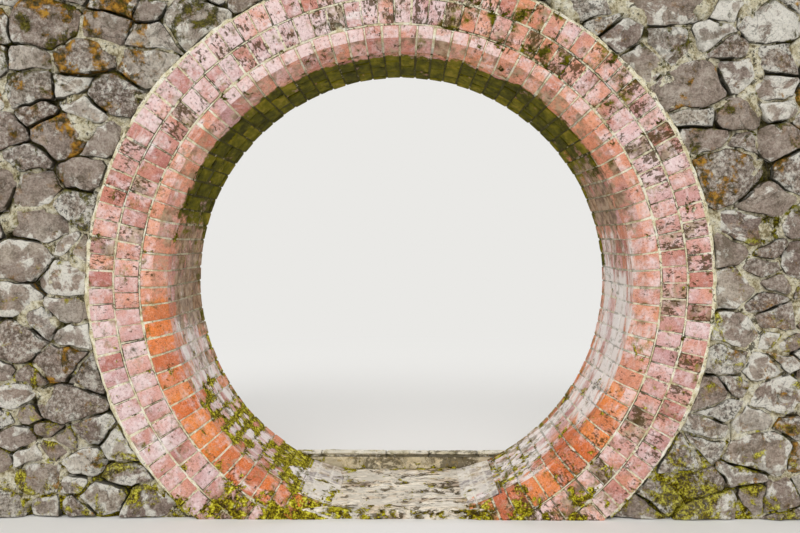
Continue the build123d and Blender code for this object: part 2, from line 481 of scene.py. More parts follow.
def inner_ring(material):
    """The chamfered specials and plain stretchers of the ring that lines the passage."""
    rng = np.random.default_rng(SEED + INNER_COURSES)

    def special(length, facing):
        end = facing * (FACE_Y - length)
        face = facing * FACE_Y
        flat = facing * (FACE_Y - CHAMFER)
        corners = [(CHAMFER, face), (BRICK_WIDTH, face), (BRICK_WIDTH, end), (0, end), (0, flat)]
        return brick_template(corners, [3, 2, 1, 3 if length < BRICK_LENGTH else 5, 4], True)

    def plain(start):
        end = start + BRICK_LENGTH
        corners = [(0, start), (BRICK_WIDTH, start), (BRICK_WIDTH, end), (0, end)]
        return brick_template(corners, [1, 2, 1, 6], False)

    short = [special(BRICK_WIDTH, -1), plain(-BRICK_LENGTH - BED / 2), plain(BED / 2),
             special(BRICK_WIDTH, 1)]
    long = [special(BRICK_LENGTH, -1), plain(-BRICK_LENGTH / 2), special(BRICK_LENGTH, 1)]
    shells = {quarter: Shell() for quarter in QUARTERS}
    for course in range(INNER_COURSES):
        angle = (course + 0.5) * math.tau / INNER_COURSES
        edge = abs(OPEN_R * math.sin(angle)) + BRICK_HEIGHT
        if math.cos(angle) < 0 and edge < FOOT_X:
            continue
        for template in (long if course % 2 else short):
            lay_brick(shells[quarter_of(angle)], template, OPEN_R, angle, "inner", rng)
    for quarter, shell in shells.items():
        mesh = shell.mesh(f"inner_bricks_{quarter}")
        trim(mesh, quarter, True)
        place(mesh, material, "brick", f"inner_ring_{quarter}")


# Mortar of the rings

MORTAR_STATIONS = 74
COLLAR_STATIONS = 440
PLAIN_LUCK = (0.5, 0.5, 0.5)


def ring_mortar(name, corners, parts, quarter, material):
    """A quarter of a ring of mortar, from its section."""
    section, normals = outline(corners, 0.002, parts)
    angles = QUARTERS[quarter] + np.linspace(math.pi / 2, 0, MORTAR_STATIONS)
    points = swept(section, angles)
    out = np.tile(normals, (MORTAR_STATIONS, 1))
    turned = np.repeat(angles, len(section))
    way = np.stack([out[:, 0] * np.sin(turned), out[:, 1], out[:, 0] * np.cos(turned)], axis=-1)
    points[:-2] += 0.0013 * rough(points[:-2], 0.03, SEED + 31, 2)[:, None] * way
    near_face = np.maximum(0.0, FACE_Y - JOINT_RECESS - 0.001 - np.abs(points[:, 1]))
    stain, film = brick_marks(points, near_face, name.split("_")[-1], False, 1.0, PLAIN_LUCK)
    shell = Shell()
    shell.add(points, loft_faces(MORTAR_STATIONS, len(section)), stain, 0.5, film)
    mesh = shell.mesh(f"{name}_mortar_{quarter}")
    trim(mesh, quarter, name == "inner")
    place(mesh, material, "mortar", f"{name}_ring_{quarter}")


def mortar_rings(materials):
    """The mortar of every ring, in quarters, a little behind the bricks."""
    face = FACE_Y - JOINT_RECESS
    flat = FACE_Y - CHAMFER
    inset = OPEN_R + JOINT_RECESS
    edge = OPEN_R + CHAMFER + JOINT_RECESS
    back = FACE_Y - BRICK_LENGTH
    lining = [(edge, -face), (INNER_OUT, -face), (INNER_OUT, face), (edge, face), (inset, flat),
              (inset, -flat)]
    for quarter in QUARTERS:
        ring_mortar("inner", lining, [4, 3, 4, 5, 28, 5], quarter, materials["inner"])
        for side, facing in FACES.items():
            for ring, low, high in (("middle", INNER_OUT, MIDDLE_OUT), ("outer", MIDDLE_OUT, OUTER_OUT)):
                section = [(low, back), (high, back), (high, face), (low, face)]
                corners = [(radius, facing * y) for radius, y in section]
                ring_mortar(f"{side}_{ring}", corners, [1, 2, 6, 3], quarter, materials[ring])


def collar(face, facing, material):
    """Mortar struck off between the outer ring and the stones, with an uneven edge."""
    deep = FACE_Y - 0.06
    section = [(OUTER_OUT - 0.004, FACE_Y - 0.003), (OUTER_OUT + 0.006, FACE_Y - 0.002),
               (OUTER_OUT + 0.016, FACE_Y - 0.009), (OUTER_OUT + 0.021, FACE_Y - 0.024),
               (OUTER_OUT + 0.023, deep), (OUTER_OUT - 0.004, deep)]
    section, _ = outline([(radius, facing * y) for radius, y in section], 0.002, [2, 3, 3, 2, 2, 2])
    ground = math.acos(-CENTRE_Z / (OUTER_OUT + 0.03))
    angles = np.linspace(ground, -ground, COLLAR_STATIONS)
    points = swept(section, angles)
    radius, angle = polar(points)
    turned = np.radians(angle)
    wander = 0.50 * noise(points, 0.16, SEED + 41) + 0.40 * noise(points, 0.05, SEED + 42)
    spread = np.where(radius > OUTER_OUT + 0.008, (radius - OUTER_OUT) * wander, 0)
    spread = spread + (radius > OUTER_OUT + 0.008) * 0.0040 * noise(points, 0.022, SEED + 43)
    points[:, 0] += spread * np.sin(turned)
    points[:, 2] += spread * np.cos(turned)
    points[:, 1] += 0.0018 * rough(points, 0.03, SEED + 44, 2)
    stain, film = brick_marks(points, FACE_Y - np.abs(points[:, 1]), "outer", False, 1.0, PLAIN_LUCK)
    shell = Shell()
    shell.add(points, loft_faces(COLLAR_STATIONS, len(section)), stain, 0.5, film)
    mesh = shell.mesh(f"{face}_collar")
    cut(mesh, (0, 0, 0), (0, 0, 1))
    place(mesh, material, "mortar", f"{face}_mortar_collar")


# Rubble: stones laid out on the outside of the wall, unrolled into one strip of length u

CORNER_R = 0.05
LONG = 2 * WALL_X
SHORT = 2 * WALL_Y
STRIP = 2 * (LONG + SHORT)
RUBBLE_R = OUTER_OUT + 0.015
BREADTH = 1.50
STONE_SIZES = ((0.098, 220), (0.074, 800), (0.054, 2600), (0.036, 4200))
STONES_LOW = 0.002
STONES_HIGH = WALL_TOP - 0.003
JOINT_HALF = 0.0008
JOINT_HALF_FLAT = 0.0018
JOINT_LUCK = 0.0026
WHOLE_CORNERS = 0.45
KNOCKED_OFF = (0.006, 0.030)
EDGE_STEP = 0.0195


def wrap(u, out):
    """The place on the wall's outside at strip length u from the front left arris, proud of it by `out`."""
    u = np.asarray(u) % STRIP
    out = out + 0 * u
    x = np.empty_like(u)
    y = np.empty_like(u)
    sides = ((0, LONG, (-WALL_X, -WALL_Y), (1, 0), (0, -1)),
             (LONG, SHORT, (WALL_X, -WALL_Y), (0, 1), (1, 0)),
             (LONG + SHORT, LONG, (WALL_X, WALL_Y), (-1, 0), (0, 1)),
             (2 * LONG + SHORT, SHORT, (-WALL_X, WALL_Y), (0, -1), (-1, 0)))
    for start, length, corner, along, away in sides:
        here = (u >= start) & (u <= start + length)
        run = u[here] - start
        from_end = np.minimum(run, length - run)
        lean = np.clip(1 - from_end / CORNER_R, 0, 1)
        direction = np.where(run < length / 2, -1.0, 1.0)
        turn = lean * math.pi / 4
        edge_run = np.where(run < length / 2, CORNER_R, length - CORNER_R)
        at = np.where(lean > 0, edge_run + direction * np.sin(turn) * (CORNER_R + out[here]), run)
        height = np.where(lean > 0, (CORNER_R + out[here]) * np.cos(turn) - CORNER_R, out[here])
        x[here] = corner[0] + along[0] * at + away[0] * height
        y[here] = corner[1] + along[1] * at + away[1] * height
    return x, y


def round_strip(length):
    """A length along the strip, taken the short way round the wall."""
    return (length + STRIP / 2) % STRIP - STRIP / 2


def ring_ways(u, z):
    """From a place on the strip to the middle of the opening, on the front and on the rear."""
    return [np.array([round_strip(centre - u), CENTRE_Z - z]) for centre in (WALL_X, LONG + SHORT + WALL_X)]


def sow_stones(rng):
    """Middle and size of every stone: the broad ones first, then smaller ones in the room that is left."""
    seeds = np.empty((0, 3))
    for size, tries in STONE_SIZES:
        for _ in range(tries):
            u, z = rng.uniform((0, 0.4 * size), (STRIP, WALL_TOP - 0.4 * size))
            radius = size * rng.uniform(0.85, 1.15) * (1 - 0.20 * band(z, 0.35, 1.15, 0.15))
            if min(np.linalg.norm(way) for way in ring_ways(u, z)) < RUBBLE_R + 0.75 * radius:
                continue
            away = np.hypot(round_strip(seeds[:, 0] - u) / BREADTH, seeds[:, 1] - z)
            if (away > 0.93 * (seeds[:, 2] + radius)).all():
                seeds = np.vstack([seeds, (u, z, radius)])
    return seeds


def halved(polygon, way, limit):
    """The part of a convex polygon that reaches no further than a limit along `way`."""
    reach = polygon @ way - limit
    kept = []
    for i in range(len(polygon)):
        if (reach[i] <= 0) != (reach[i - 1] <= 0):
            share = reach[i - 1] / (reach[i - 1] - reach[i])
            kept.append(polygon[i - 1] + share * (polygon[i] - polygon[i - 1]))
        if reach[i] <= 0:
            kept.append(polygon[i])
    return np.array(kept)


def stone_corners(seeds, index, rng):
    """Corners of one stone about its middle: what lies nearer to it than to its neighbours, less joints."""
    u, z, size = seeds[index]
    across = round_strip(seeds[:, 0] - u) / BREADTH
    up = seeds[:, 1] - z
    away = np.hypot(across, up)
    low = STONES_LOW - z
    high = STONES_HIGH - z
    corners = np.array([(-0.5, low), (0.5, low), (0.5, high), (-0.5, high)])
    for other in np.argsort(away)[1:22]:
        way = np.array([across[other], up[other]]) / away[other]
        half = (away[other]**2 + size**2 - seeds[other, 2]**2) / (2 * away[other])
        joint = JOINT_HALF + JOINT_HALF_FLAT * way[1]**2 + rng.uniform(0, JOINT_LUCK)
        corners = halved(corners, way, half - joint)
    corners[:, 0] *= BREADTH
    for way in ring_ways(u, z):
        reach = np.linalg.norm(way)
        corners = halved(corners, way / reach, reach - RUBBLE_R - 0.002)
    return corners


def stone_edge(seeds, index, rng):
    """The ragged outline of one stone, with some of its corners knocked off, bent with its neighbours."""
    corners = stone_corners(seeds, index, rng)
    before = np.roll(corners, 1, axis=0) - corners
    after = np.roll(corners, -1, axis=0) - corners
    points = []
    for corner, back, on in zip(corners, before, after):
        if rng.random() < WHOLE_CORNERS:
            points.append(corner)
            continue
        knocked = rng.uniform(*KNOCKED_OFF)
        for way in (back, on):
            length = np.linalg.norm(way)
            points.append(corner + way * min(0.40, knocked / max(length, 1e-6)))
    edge = []
    for i, start in enumerate(points):
        run = points[(i + 1) % len(points)] - start
        pieces = max(1, round(float(np.linalg.norm(run)) / EDGE_STEP))
        edge.extend(start + run * step / pieces for step in range(pieces))
    edge = np.array(edge) + seeds[index, :2]

    x, y = wrap(edge[:, 0], 0.0)
    sample = np.column_stack([x, y, edge[:, 1]])
    ways = ring_ways(edge[:, 0], edge[:, 1])
    near_ring = np.minimum(*[np.linalg.norm(way, axis=0) for way in ways]) - RUBBLE_R
    calm = (0.25 + 0.75 * soft(near_ring, 0.0, 0.06))[:, None]
    bend = [0.015 * noise(sample, 0.13, SEED + 51 + k) + 0.007 * noise(sample, 0.045, SEED + 53 + k)
            for k in (0, 1)]
    lift = rng.uniform(0, 90)
    ragged = [0.0040 * noise(sample + lift, 0.026, SEED + 55 + k) for k in (0, 1)]
    edge = edge + (np.stack(bend, axis=1) + np.stack(ragged, axis=1)) * calm
    for way in ring_ways(edge[:, 0], edge[:, 1]):
        reach = np.linalg.norm(way, axis=0)
        push = np.clip(RUBBLE_R + 0.001 - reach, 0, None) / reach
        edge -= (way * push).T
    edge[:, 1] = np.clip(edge[:, 1], STONES_LOW, STONES_HIGH)
    return edge


EDGE_ROWS = ((0.0000, -0.060), (0.0004, -0.009), (0.0022, 0.0012), (0.0064, 0.0056))
FACE_ROWS = ((0.86, 0.0066), (0.60, 0.0072), (0.30, 0.0076))
FACE_MIDDLE = 0.0080
ARRIS_LUCK = (0.7, 1.7)
STONE_TILT = 0.040
BREAKS = 4
BREAK_SLOPE = (0.10, 0.60)
BREAK_START = (0.30, 0.95)
STONE_PROUD = (-0.006, 0.009)
STONE_LIMIT = 0.030


def stone_marks(points, tone, rim, top):
    """Moss, pale crust, darker patches, mustard lichen, and how near the arris, how plum-brown and how
    pitted.
    """
    height = points[:, 2]
    broad = noise(points, 0.45, SEED + 61)
    middle = noise(points, 0.15, SEED + 62)
    left = soft(-points[:, 0], 0.9, 1.4) * (points[:, 1] < 0)
    low = 1 - soft(height, 0.05, 0.50 + 0.2 * broad)
    high = soft(height, 1.70, 2.05)
    own, mossy, crusted, rough_one = [hashed(int(tone * 1e6), 3, 7 + k, SEED) for k in range(4)]
    moss = 0.46 * low * (0.7 + 0.7 * middle) + 0.14 * soft(broad, 0.1, 0.8) + 0.16 * left * high
    moss = moss * (0.5 + mossy) + 0.22 * (mossy > 0.88) * soft(height, 0.3, 0.5)
    moss = moss + 0.34 * top * rim * (0.3 + mossy)
    pale = 0.08 + 0.30 * noise(points, 0.30, SEED + 63) + 0.50 * rim + 0.60 * (crusted - 0.35)
    # Darker in patches, a little near the ground and more towards the top of the wall.
    darkening = 0.04 + 0.02 * low + 0.20 * high + 0.26 * noise(points, 0.25, SEED + 64)
    mustard = 0.40 * left * high * (0.6 + 0.8 * middle) + 0.34 * (own > 0.88) + 0.26 * top * rim * own
    plum = 0.95 - 0.9 * crusted + 0.4 * noise(points, 0.22, SEED + 66)
    pitted = float(soft(rough_one, 0.55, 0.80))
    return layer(moss, pale, darkening, mustard), layer(rim, plum, pitted, 0.0)


def lay_stone(shell, edge, rng):
    """One stone of the rubble: a ragged edge, worn arrises and a broken, nearly flat face."""
    middle = edge.mean(axis=0)
    spokes = edge - middle
    reach = np.linalg.norm(spokes, axis=1)
    size = reach.mean()
    ease = rng.uniform(*ARRIS_LUCK) * min(1.0, size / 0.06)
    rows = []
    heights = []
    rims = []
    for inset, height in EDGE_ROWS:
        scale = np.clip(1 - inset * ease / reach, 0.25, 1)
        rows.append(middle + spokes * scale[:, None])
        heights.append(np.full(len(edge), height))
        rims.append(np.full(len(edge), 1 - 0.4 * soft(inset, 0.001, 0.006)))
    last = np.clip(1 - EDGE_ROWS[-1][0] * ease / reach, 0.25, 1)
    for share, height in FACE_ROWS:
        rows.append(middle + spokes * (share * last)[:, None])
        heights.append(np.full(len(edge), height))
        rims.append((1 - soft(reach * (1 - share), 0.004, 0.040)) * 0.6)
    flat = np.vstack(rows + [middle[None], middle[None]])
    height = np.concatenate(heights + [[EDGE_ROWS[0][1], FACE_MIDDLE]])
    rim = np.concatenate(rims + [[1.0, 0.0]])

    tilt = rng.normal(0, STONE_TILT, 2)
    slope = np.clip((flat - middle) @ tilt, -0.008, 0.008)
    planes = [np.zeros(len(flat))]
    for _ in range(BREAKS):
        way = rng.uniform(0, math.tau)
        steep = rng.uniform(*BREAK_SLOPE)
        start = size * rng.uniform(*BREAK_START)
        run = (flat - middle) @ (math.cos(way), math.sin(way))
        planes.append(-steep * np.clip(run - start, 0, None))
    lift = rng.uniform(0, 90)
    sample = np.column_stack([flat, height]) + lift
    broken = 0.0075 * rough(sample, 0.085, SEED + 57, 3) + 0.0036 * noise(sample, 0.026, SEED + 58)
    face = soft(height, -0.020, 0.004)
    proud = rng.uniform(*STONE_PROUD)
    height = height + face * (slope + np.minimum.reduce(planes) + broken + proud)
    height = np.minimum(height, STONE_LIMIT)
    x, y = wrap(flat[:, 0], height)
    points = np.column_stack([x, y, flat[:, 1]])
    tone = rng.random()
    top = np.clip((flat[:, 1] - middle[1]) / size, 0, 1)
    stain, film = stone_marks(points, tone, rim, top)
    shell.add(points, loft_faces(len(rows), len(edge)), stain, tone, film)


def wall_node(x, z):
    """The rubble node that a stone belongs to."""
    if abs(x) > SURROUND_X:
        return "right_wall" if x > 0 else "left_wall"
    if z > SURROUND_TOP:
        return "crown_wall"
    return f"spandrel_{'upper' if z > CENTRE_Z else 'lower'}_{'right' if x > 0 else 'left'}"


def rubble_stones(material):
    """Every stone of the wall, gathered by the rubble node it belongs to."""
    rng = np.random.default_rng(SEED + 5)
    seeds = sow_stones(rng)
    shells = {}
    for index in range(len(seeds)):
        edge = stone_edge(seeds, index, rng)
        x, _ = wrap(edge[:, 0].mean(keepdims=True), 0.0)
        lay_stone(shells.setdefault(wall_node(x[0], edge[:, 1].mean()), Shell()), edge, rng)
    for node, shell in shells.items():
        place(shell.mesh(f"{node}_stones"), material, "rubble_stone", node)


# Weathered copies of CAD solids

def weathered(node, name, voxel, material, slot, shape, marks, tone):
    """A solid's own form in an even mesh, with its surface moved by shape(points, normals)."""
    worker = bpy.data.objects.new(f"{name}_worker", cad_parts[node].data.copy())
    bpy.context.scene.collection.objects.link(worker)
    even = worker.modifiers.new("even", "REMESH")
    even.mode = "VOXEL"
    even.voxel_size = voxel
    mesh = bpy.data.meshes.new_from_object(worker.evaluated_get(bpy.context.evaluated_depsgraph_get()))
    bpy.data.objects.remove(worker)
    count = len(mesh.vertices)
    points = np.empty(count * 3)
    mesh.vertices.foreach_get("co", points)
    normals = np.empty(count * 3)
    mesh.vertices.foreach_get("normal", normals)
    points = shape(points.reshape(-1, 3), normals.reshape(-1, 3))
    mesh.vertices.foreach_set("co", points.ravel())
    mesh.name = name
    mesh.materials.clear()
    stain, film = marks(points)
    mark(mesh, stain, film, np.full(count, tone) if np.isscalar(tone) else tone(points))
    return place(mesh, material, slot, node)


def marks_of(moss, pale, dark, mustard, flush=0.0):
    """The two layers of marks on stone and mortar, each value from 0 to 1."""
    return layer(moss, pale, dark, mustard), layer(flush + 0 * moss, 0.0, 0.0, 0.0)


def flush_bedding(points):
    """1 where the bedding mortar comes out between the stones, 0 where it is hollow."""
    height = points[:, 2]
    washed = 0.16 * soft(height, 1.20, 1.50) + 0.12 * (1 - soft(height, 0.30, 0.55)) - 0.10
    return soft(rough(points, 0.10, SEED + 71, 3), washed - 0.16, washed)


def rubble_bedding(points, normals):
    """Mortar behind the stones: flush in patches and washed out elsewhere."""
    result = points.copy()
    hollow = 0.036 - (0.031 + 0.005 * noise(points, 0.05, SEED + 74)) * flush_bedding(points)
    for axis, limit in ((0, WALL_X), (1, WALL_Y)):
        outside = soft(np.abs(points[:, axis]), limit - 0.012, limit - 0.004)
        result[:, axis] -= np.sign(points[:, axis]) * outside * hollow
    return result


def bedding_marks(points):
    low = 1 - soft(points[:, 2], 0.05, 0.5)
    moss = 0.38 * low + 0.30 * soft(noise(points, 0.3, SEED + 72), -0.2, 0.8)
    return marks_of(moss, 0.0, 0.4 + 0.4 * noise(points, 0.14, SEED + 73), 0.0, flush_bedding(points))


def coping_marks(points):
    moss = 0.34 + 0.5 * noise(points, 0.16, SEED + 81)
    pale = 0.45 + 0.4 * noise(points, 0.2, SEED + 82)
    dark = 0.30 + 0.4 * noise(points, 0.12, SEED + 83)
    return marks_of(moss, pale, dark, 0.35 + 0.3 * noise(points, 0.25, SEED + 84))


def coping_wear(points, normals):
    """Riven top and broken arrises on a coping slab."""
    wave = 0.0030 * rough(points, 0.12, SEED + 88, 3)[:, None] * normals
    edge = 0.0050 * rough(points, 0.05, SEED + 89, 2)
    side = 1 - soft(np.abs(normals[:, 2]), 0.3, 0.8)
    result = points + wave - 0.0045 * normals
    result[:, :2] -= normals[:, :2] * (side * np.abs(edge))[:, None]
    return result


SILL_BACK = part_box("threshold")[1][1]
SILL_LAYERS = 3.4


def near_plane(place, plane, reach=0.012):
    """1 on a plane and 0 further than `reach` from it."""
    return 1 - soft(np.abs(place - plane), 0.35 * reach, reach)


def sill_layers(points):
    """Split layers of the threshold, long across the gate: each one's height and how near its broken edge."""
    level = SILL_LAYERS * (rough(points * (0.42, 1.0, 0.0), 0.150, SEED + 85, 3) + 1.0)
    whole = np.floor(level)
    part = level - whole
    return (whole + soft(part, 0.42, 0.58)) / SILL_LAYERS - 1.0, band(part, 0.42, 0.58, 0.12)


def riven_sill(points, normals):
    """Split stone, thin layers broken back in steps, and a ragged front."""
    result = points.copy()
    top = near_plane(points[:, 2], SILL_TOP)
    stepped, edge = sill_layers(points)
    worn = 0.007 * (1 - soft(points[:, 1] + FACE_Y, 0.0, 0.06))
    relief = 0.0200 * stepped + 0.0030 * rough(points, 0.030, SEED + 86, 2) - 0.0080 * edge
    result[:, 2] += top * np.minimum(relief - 0.001 - worn, 0.004)
    front = near_plane(points[:, 1], -FACE_Y)
    result[:, 1] += front * (0.010 + 0.014 * rough(points, 0.08, SEED + 87, 3))
    return result


def sill_marks(points):
    _, edge = sill_layers(points)
    middle = noise(points, 0.12, SEED + 91)
    to_front = points[:, 1] + FACE_Y
    moss = 0.62 * (1 - soft(to_front, 0.005, 0.06 + 0.05 * middle))
    moss = moss + 0.60 * soft(points[:, 1], SILL_BACK - 0.05 - 0.03 * middle, SILL_BACK)
    moss = moss + 0.34 * soft(np.abs(points[:, 0]), FOOT_X - 0.05, FOOT_X + 0.02) + 0.06
    # Painted shade: the dark mark is strongest in the crevices at the broken edges of the layers.
    return marks_of(moss * (0.75 + 0.7 * middle), 0.50 + 0.3 * middle, 0.20 + 1.00 * edge, 0.06)


def riser_face(points, normals):
    """Rough broken stone under the nosing."""
    result = points.copy()
    front = near_plane(points[:, 1], SILL_BACK)
    result[:, 1] += front * (0.004 + 0.010 * rough(points, 0.06, SEED + 92, 3))
    return result


def riser_marks(points):
    middle = noise(points, 0.10, SEED + 93)
    low = 1 - soft(points[:, 2], SILL_TOP, SILL_TOP + 0.035)
    tan = 0.45 * soft(-points[:, 0], 0.17, 0.21) + soft(points[:, 0], 0.38, 0.41)
    tan = tan + 0.55 * band(points[:, 0] + 0.03 * middle, 0.0, 0.18, 0.03) * (0.5 + 0.5 * low)
    dark = 0.68 - 0.62 * tan + 0.3 * middle
    return marks_of(0.50 * low * (0.7 + 0.8 * middle) + 0.04, 0.12 + 0.75 * tan, dark, 0.10)


STEP_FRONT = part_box("step_slab")[0][1]
STEP_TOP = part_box("step_slab")[1][2]
STEP_JOINTS = (-0.40, -0.075, 0.14, 0.39)
HAUNCH_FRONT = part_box("left_haunching")[0][1]


def step_length(points):
    """Which of the lengths of the nosing a point is in, and how near a joint it is."""
    x = points[:, 0] + 0.012 * noise(points, 0.05, SEED + 94)
    index = np.zeros(len(points))
    joint = np.zeros(len(points))
    for place_x in STEP_JOINTS:
        index += x > place_x
        joint = np.maximum(joint, 1 - soft(np.abs(x - place_x), 0.003, 0.009))
    return index, joint


def step_wear(points, normals):
    """Thin slabs of uneven width laid end to end, broken back under their front arris."""
    index, joint = step_length(points)
    result = points.copy()
    uneven = hashed(index.astype(np.int64), 5, 9, SEED)
    front = near_plane(points[:, 1], STEP_FRONT)
    top = near_plane(points[:, 2], STEP_TOP)
    thin = 0.012 + 0.005 * uneven + 0.004 * noise(points, 0.05, SEED + 95)
    under = 1 - soft(points[:, 2] - STEP_TOP + thin, -0.005, 0.003)
    ragged = 0.005 * np.abs(rough(points * (1, 1, 0.3), 0.07, SEED + 96, 3))
    result[:, 1] += front * (0.001 + 0.008 * uneven + ragged + 0.013 * under + 0.005 * joint)
    dip = 0.003 * (1 + rough(points * (0.5, 1, 0), 0.05, SEED + 98, 3))
    result[:, 2] -= top * (0.001 + 0.004 * uneven + dip + 0.003 * joint)
    return result


def step_marks(points):
    index, joint = step_length(points)
    middle = noise(points, 0.14, SEED + 97)
    under = 1 - soft(points[:, 2], STEP_TOP - 0.024, STEP_TOP - 0.014)
    grey = 0.4 * (index == 3)
    # Painted shadow: under the thin top slab's lip the front of the nosing is darkened and made less pale.
    return marks_of(0.06 + 0.20 * joint + 0.10 * middle, 0.60 - 0.55 * under - grey + 0.2 * middle,
                    0.10 + 0.20 * joint + 0.70 * under + grey, 0.05)


def step_tone(points):
    return step_length(points)[0] / len(STEP_JOINTS)


def haunch_wear(points, normals):
    """Old trowelled mortar, so thin that brick shows through it in places, and gone towards the front."""
    _, angle = polar(points)
    turned = np.radians(angle)
    outward = normals[:, 0] * np.sin(turned) + normals[:, 2] * np.cos(turned)
    open_side = 1 - soft(outward, -0.3, 0.2)
    underside = near_plane(points[:, 2], SILL_TOP) * soft(-normals[:, 2], 0.3, 0.8)
    behind = points[:, 1] - HAUNCH_FRONT + 0.07 * noise(points, 0.06, SEED + 98)
    taper = 1 - soft(behind, 0.02, 0.20)
    thin = 0.0030 + 0.0062 * rough(points, 0.070, SEED + 99, 3) + 0.016 * taper
    result = points - normals * (open_side * (1 - underside) * np.clip(thin, 0.0003, None))[:, None]
    result[:, 2] -= 0.014 * underside
    result[:, 1] += 0.03 * near_plane(points[:, 1], HAUNCH_FRONT) * (1 + noise(points, 0.05, SEED + 101))
    return result


def haunch_marks(points):
    middle = noise(points, 0.09, SEED + 100)
    toe = 1 - soft(points[:, 2], SILL_TOP, SILL_TOP + 0.03)
    return marks_of(0.04 + 0.18 * toe + 0.30 * middle, 0.66 + 0.4 * middle, 0.06, 0.10)


# Materials

OCTAVE_SPREAD = 0.125    # how far one octave of the noise texture strays from its middle
OWN_SHIFT = 37.0         # how far apart the patterns of two bricks or stones can lie


class Value:
    """A value in a node tree. Arithmetic on it adds a node."""

    def __init__(self, graph, socket):
        self.graph = graph
        self.socket = socket

    def __add__(self, other):
        return self.graph.math("ADD", self, other)

    def __sub__(self, other):
        return self.graph.math("SUBTRACT", self, other)

    def __rsub__(self, other):
        return self.graph.math("SUBTRACT", other, self)

    def __mul__(self, other):
        return self.graph.math("MULTIPLY", self, other)

    def __truediv__(self, other):
        return self.graph.math("DIVIDE", self, other)

    def siblings(self):
        """Every output of the node that this value comes from."""
        return [Value(self.graph, socket) for socket in self.socket.node.outputs]


class Graph:
    """A node tree, written as calls that each give the value of one output."""

    def __init__(self, tree, place="Object"):
        self.tree = tree
        self.place = self.node("TexCoord", place)

    def feed(self, socket, value):
        if isinstance(value, Value):
            self.tree.links.new(value.socket, socket)
        else:
            socket.default_value = value

    def node(self, kind, output=0, inputs=None, **settings):
        """A new node with its settings and the inputs named, as the value of one output."""
        node = self.tree.nodes.new("ShaderNode" + kind)
        for name, setting in settings.items():
            setattr(node, name, setting)
        for socket, value in (inputs or {}).items():
            self.feed(node.inputs[socket], value)
        return Value(self, node.outputs[output])

    def mix(self, share, first, second):
        return self.node("Mix", 2, {0: share, 6: first, 7: second}, data_type="RGBA")

    def math(self, kind, first, second=0.0):
        return self.node("Math", 0, {0: first, 1: second}, operation=kind)

    def span(self, value, low, high):
        """0 at low and 1 at high, which may be the smaller of the two."""
        inputs = {"Value": value, "From Min": low, "From Max": high}
        return self.node("MapRange", "Result", inputs, interpolation_type="SMOOTHSTEP")

    def axes(self):
        return self.node("SeparateXYZ", 0, {0: self.place}).siblings()

    def polar(self):
        """Radius and angle round the opening, clockwise from the crown."""
        x, _, z = self.axes()
        rise = z - CENTRE_Z
        return self.math("SQRT", x * x + rise * rise), self.math("ARCTAN2", x, rise)

    def moved(self, amount, place=None):
        """A place shifted by a number, so that each brick or stone has its own pattern."""
        inputs = {0: place or self.place, 1: amount * OWN_SHIFT}
        return self.node("VectorMath", 0, inputs, operation="ADD")

    def stretched(self, *scales):
        """The place with each axis scaled, so that a pattern on it is longer along the smaller ones."""
        return self.node("Mapping", 0, {"Vector": self.place, "Scale": scales})

    def unrolled(self, along, deep, out):
        """The place along the opening's circle, through the wall and out from its middle, each scaled."""
        radius, turn = self.polar()
        inputs = {0: turn * (along * OPEN_R), 1: self.axes()[1] * deep, 2: radius * out}
        return self.node("CombineXYZ", 0, inputs)

    def grain(self, scale, detail=4.0, roughness=0.6, place=None, warp=0.0):
        """Noise about 0.5 that strays from it by a quarter on average, however fine its detail."""
        inputs = {"Vector": place or self.place, "Scale": scale, "Detail": detail, "Roughness": roughness,
                  "Distortion": warp}
        weights = [roughness**octave for octave in range(int(detail) + 1)]
        spread = OCTAVE_SPREAD * math.sqrt(sum(weight**2 for weight in weights)) / sum(weights)
        stretch = 0.25 / spread
        return self.node("TexNoise", "Fac", inputs) * stretch + (0.5 - 0.5 * stretch)

    def ramp(self, value, *stops):
        """Colours along a value, each after the place where it stands."""
        result = self.node("ValToRGB", 0, {0: value})
        elements = result.socket.node.color_ramp.elements
        while len(elements) < len(stops):
            elements.new(1.0)
        for element, (position, *colour) in zip(elements, stops):
            element.position = position
            element.color = linear(*colour)
        return result

    def tone(self):
        return self.node("Attribute", "Fac", attribute_name="tone")

    def marks(self, name):
        """The four values of one layer of weathering marks."""
        layer = self.node("Attribute", "Color", attribute_name=name)
        return (*self.node("SeparateColor", 0, {0: layer}).siblings(), layer.siblings()[3])

    def cover(self, amount, pattern, edge):
        """Patches of a pattern, over about as much of the surface as the amount says, from 0 to 1."""
        return self.span(pattern + amount * 1.2, 1.1 - edge, 1.1 + edge)

    def flecks(self, amount, pattern):
        """Small marks of a pattern that stay apart, over a third of the surface at most."""
        return self.span(pattern + amount * 0.5, 1.03, 1.17)

    def coat(self, share, strength, colour, below):
        """A layer of a colour over what is below it."""
        return self.mix(share * strength, below, linear(*colour))

    def coats(self, colour, *layers):
        """Layers over a colour, each a pattern, where it begins and is full, its strength and its colour."""
        for pattern, begin, full, strength, paint in layers:
            colour = self.coat(self.span(pattern, begin, full), strength, paint, colour)
        return colour


class Paint(Graph):
    """A material's node tree, with the shader of its surface."""

    def __init__(self, name):
        self.material = bpy.data.materials.new(name)
        self.material.use_nodes = True
        super().__init__(self.material.node_tree)
        self.surface = self.tree.nodes["Principled BSDF"]

    def relief(self, distance, *layers):
        """Bump from the sum of layers, each a pattern and its weight."""
        first, *others = [pattern * weight for pattern, weight in layers]
        bump = self.node("Bump", 0, {"Strength": 1.0, "Distance": distance, "Height": sum(others, first)})
        self.feed(self.surface.inputs["Normal"], bump)

    def finish(self, colour, roughness):
        self.feed(self.surface.inputs["Base Color"], colour)
        self.feed(self.surface.inputs["Roughness"], roughness)
        self.surface.inputs["Specular IOR Level"].default_value = 0.08
        return self.material


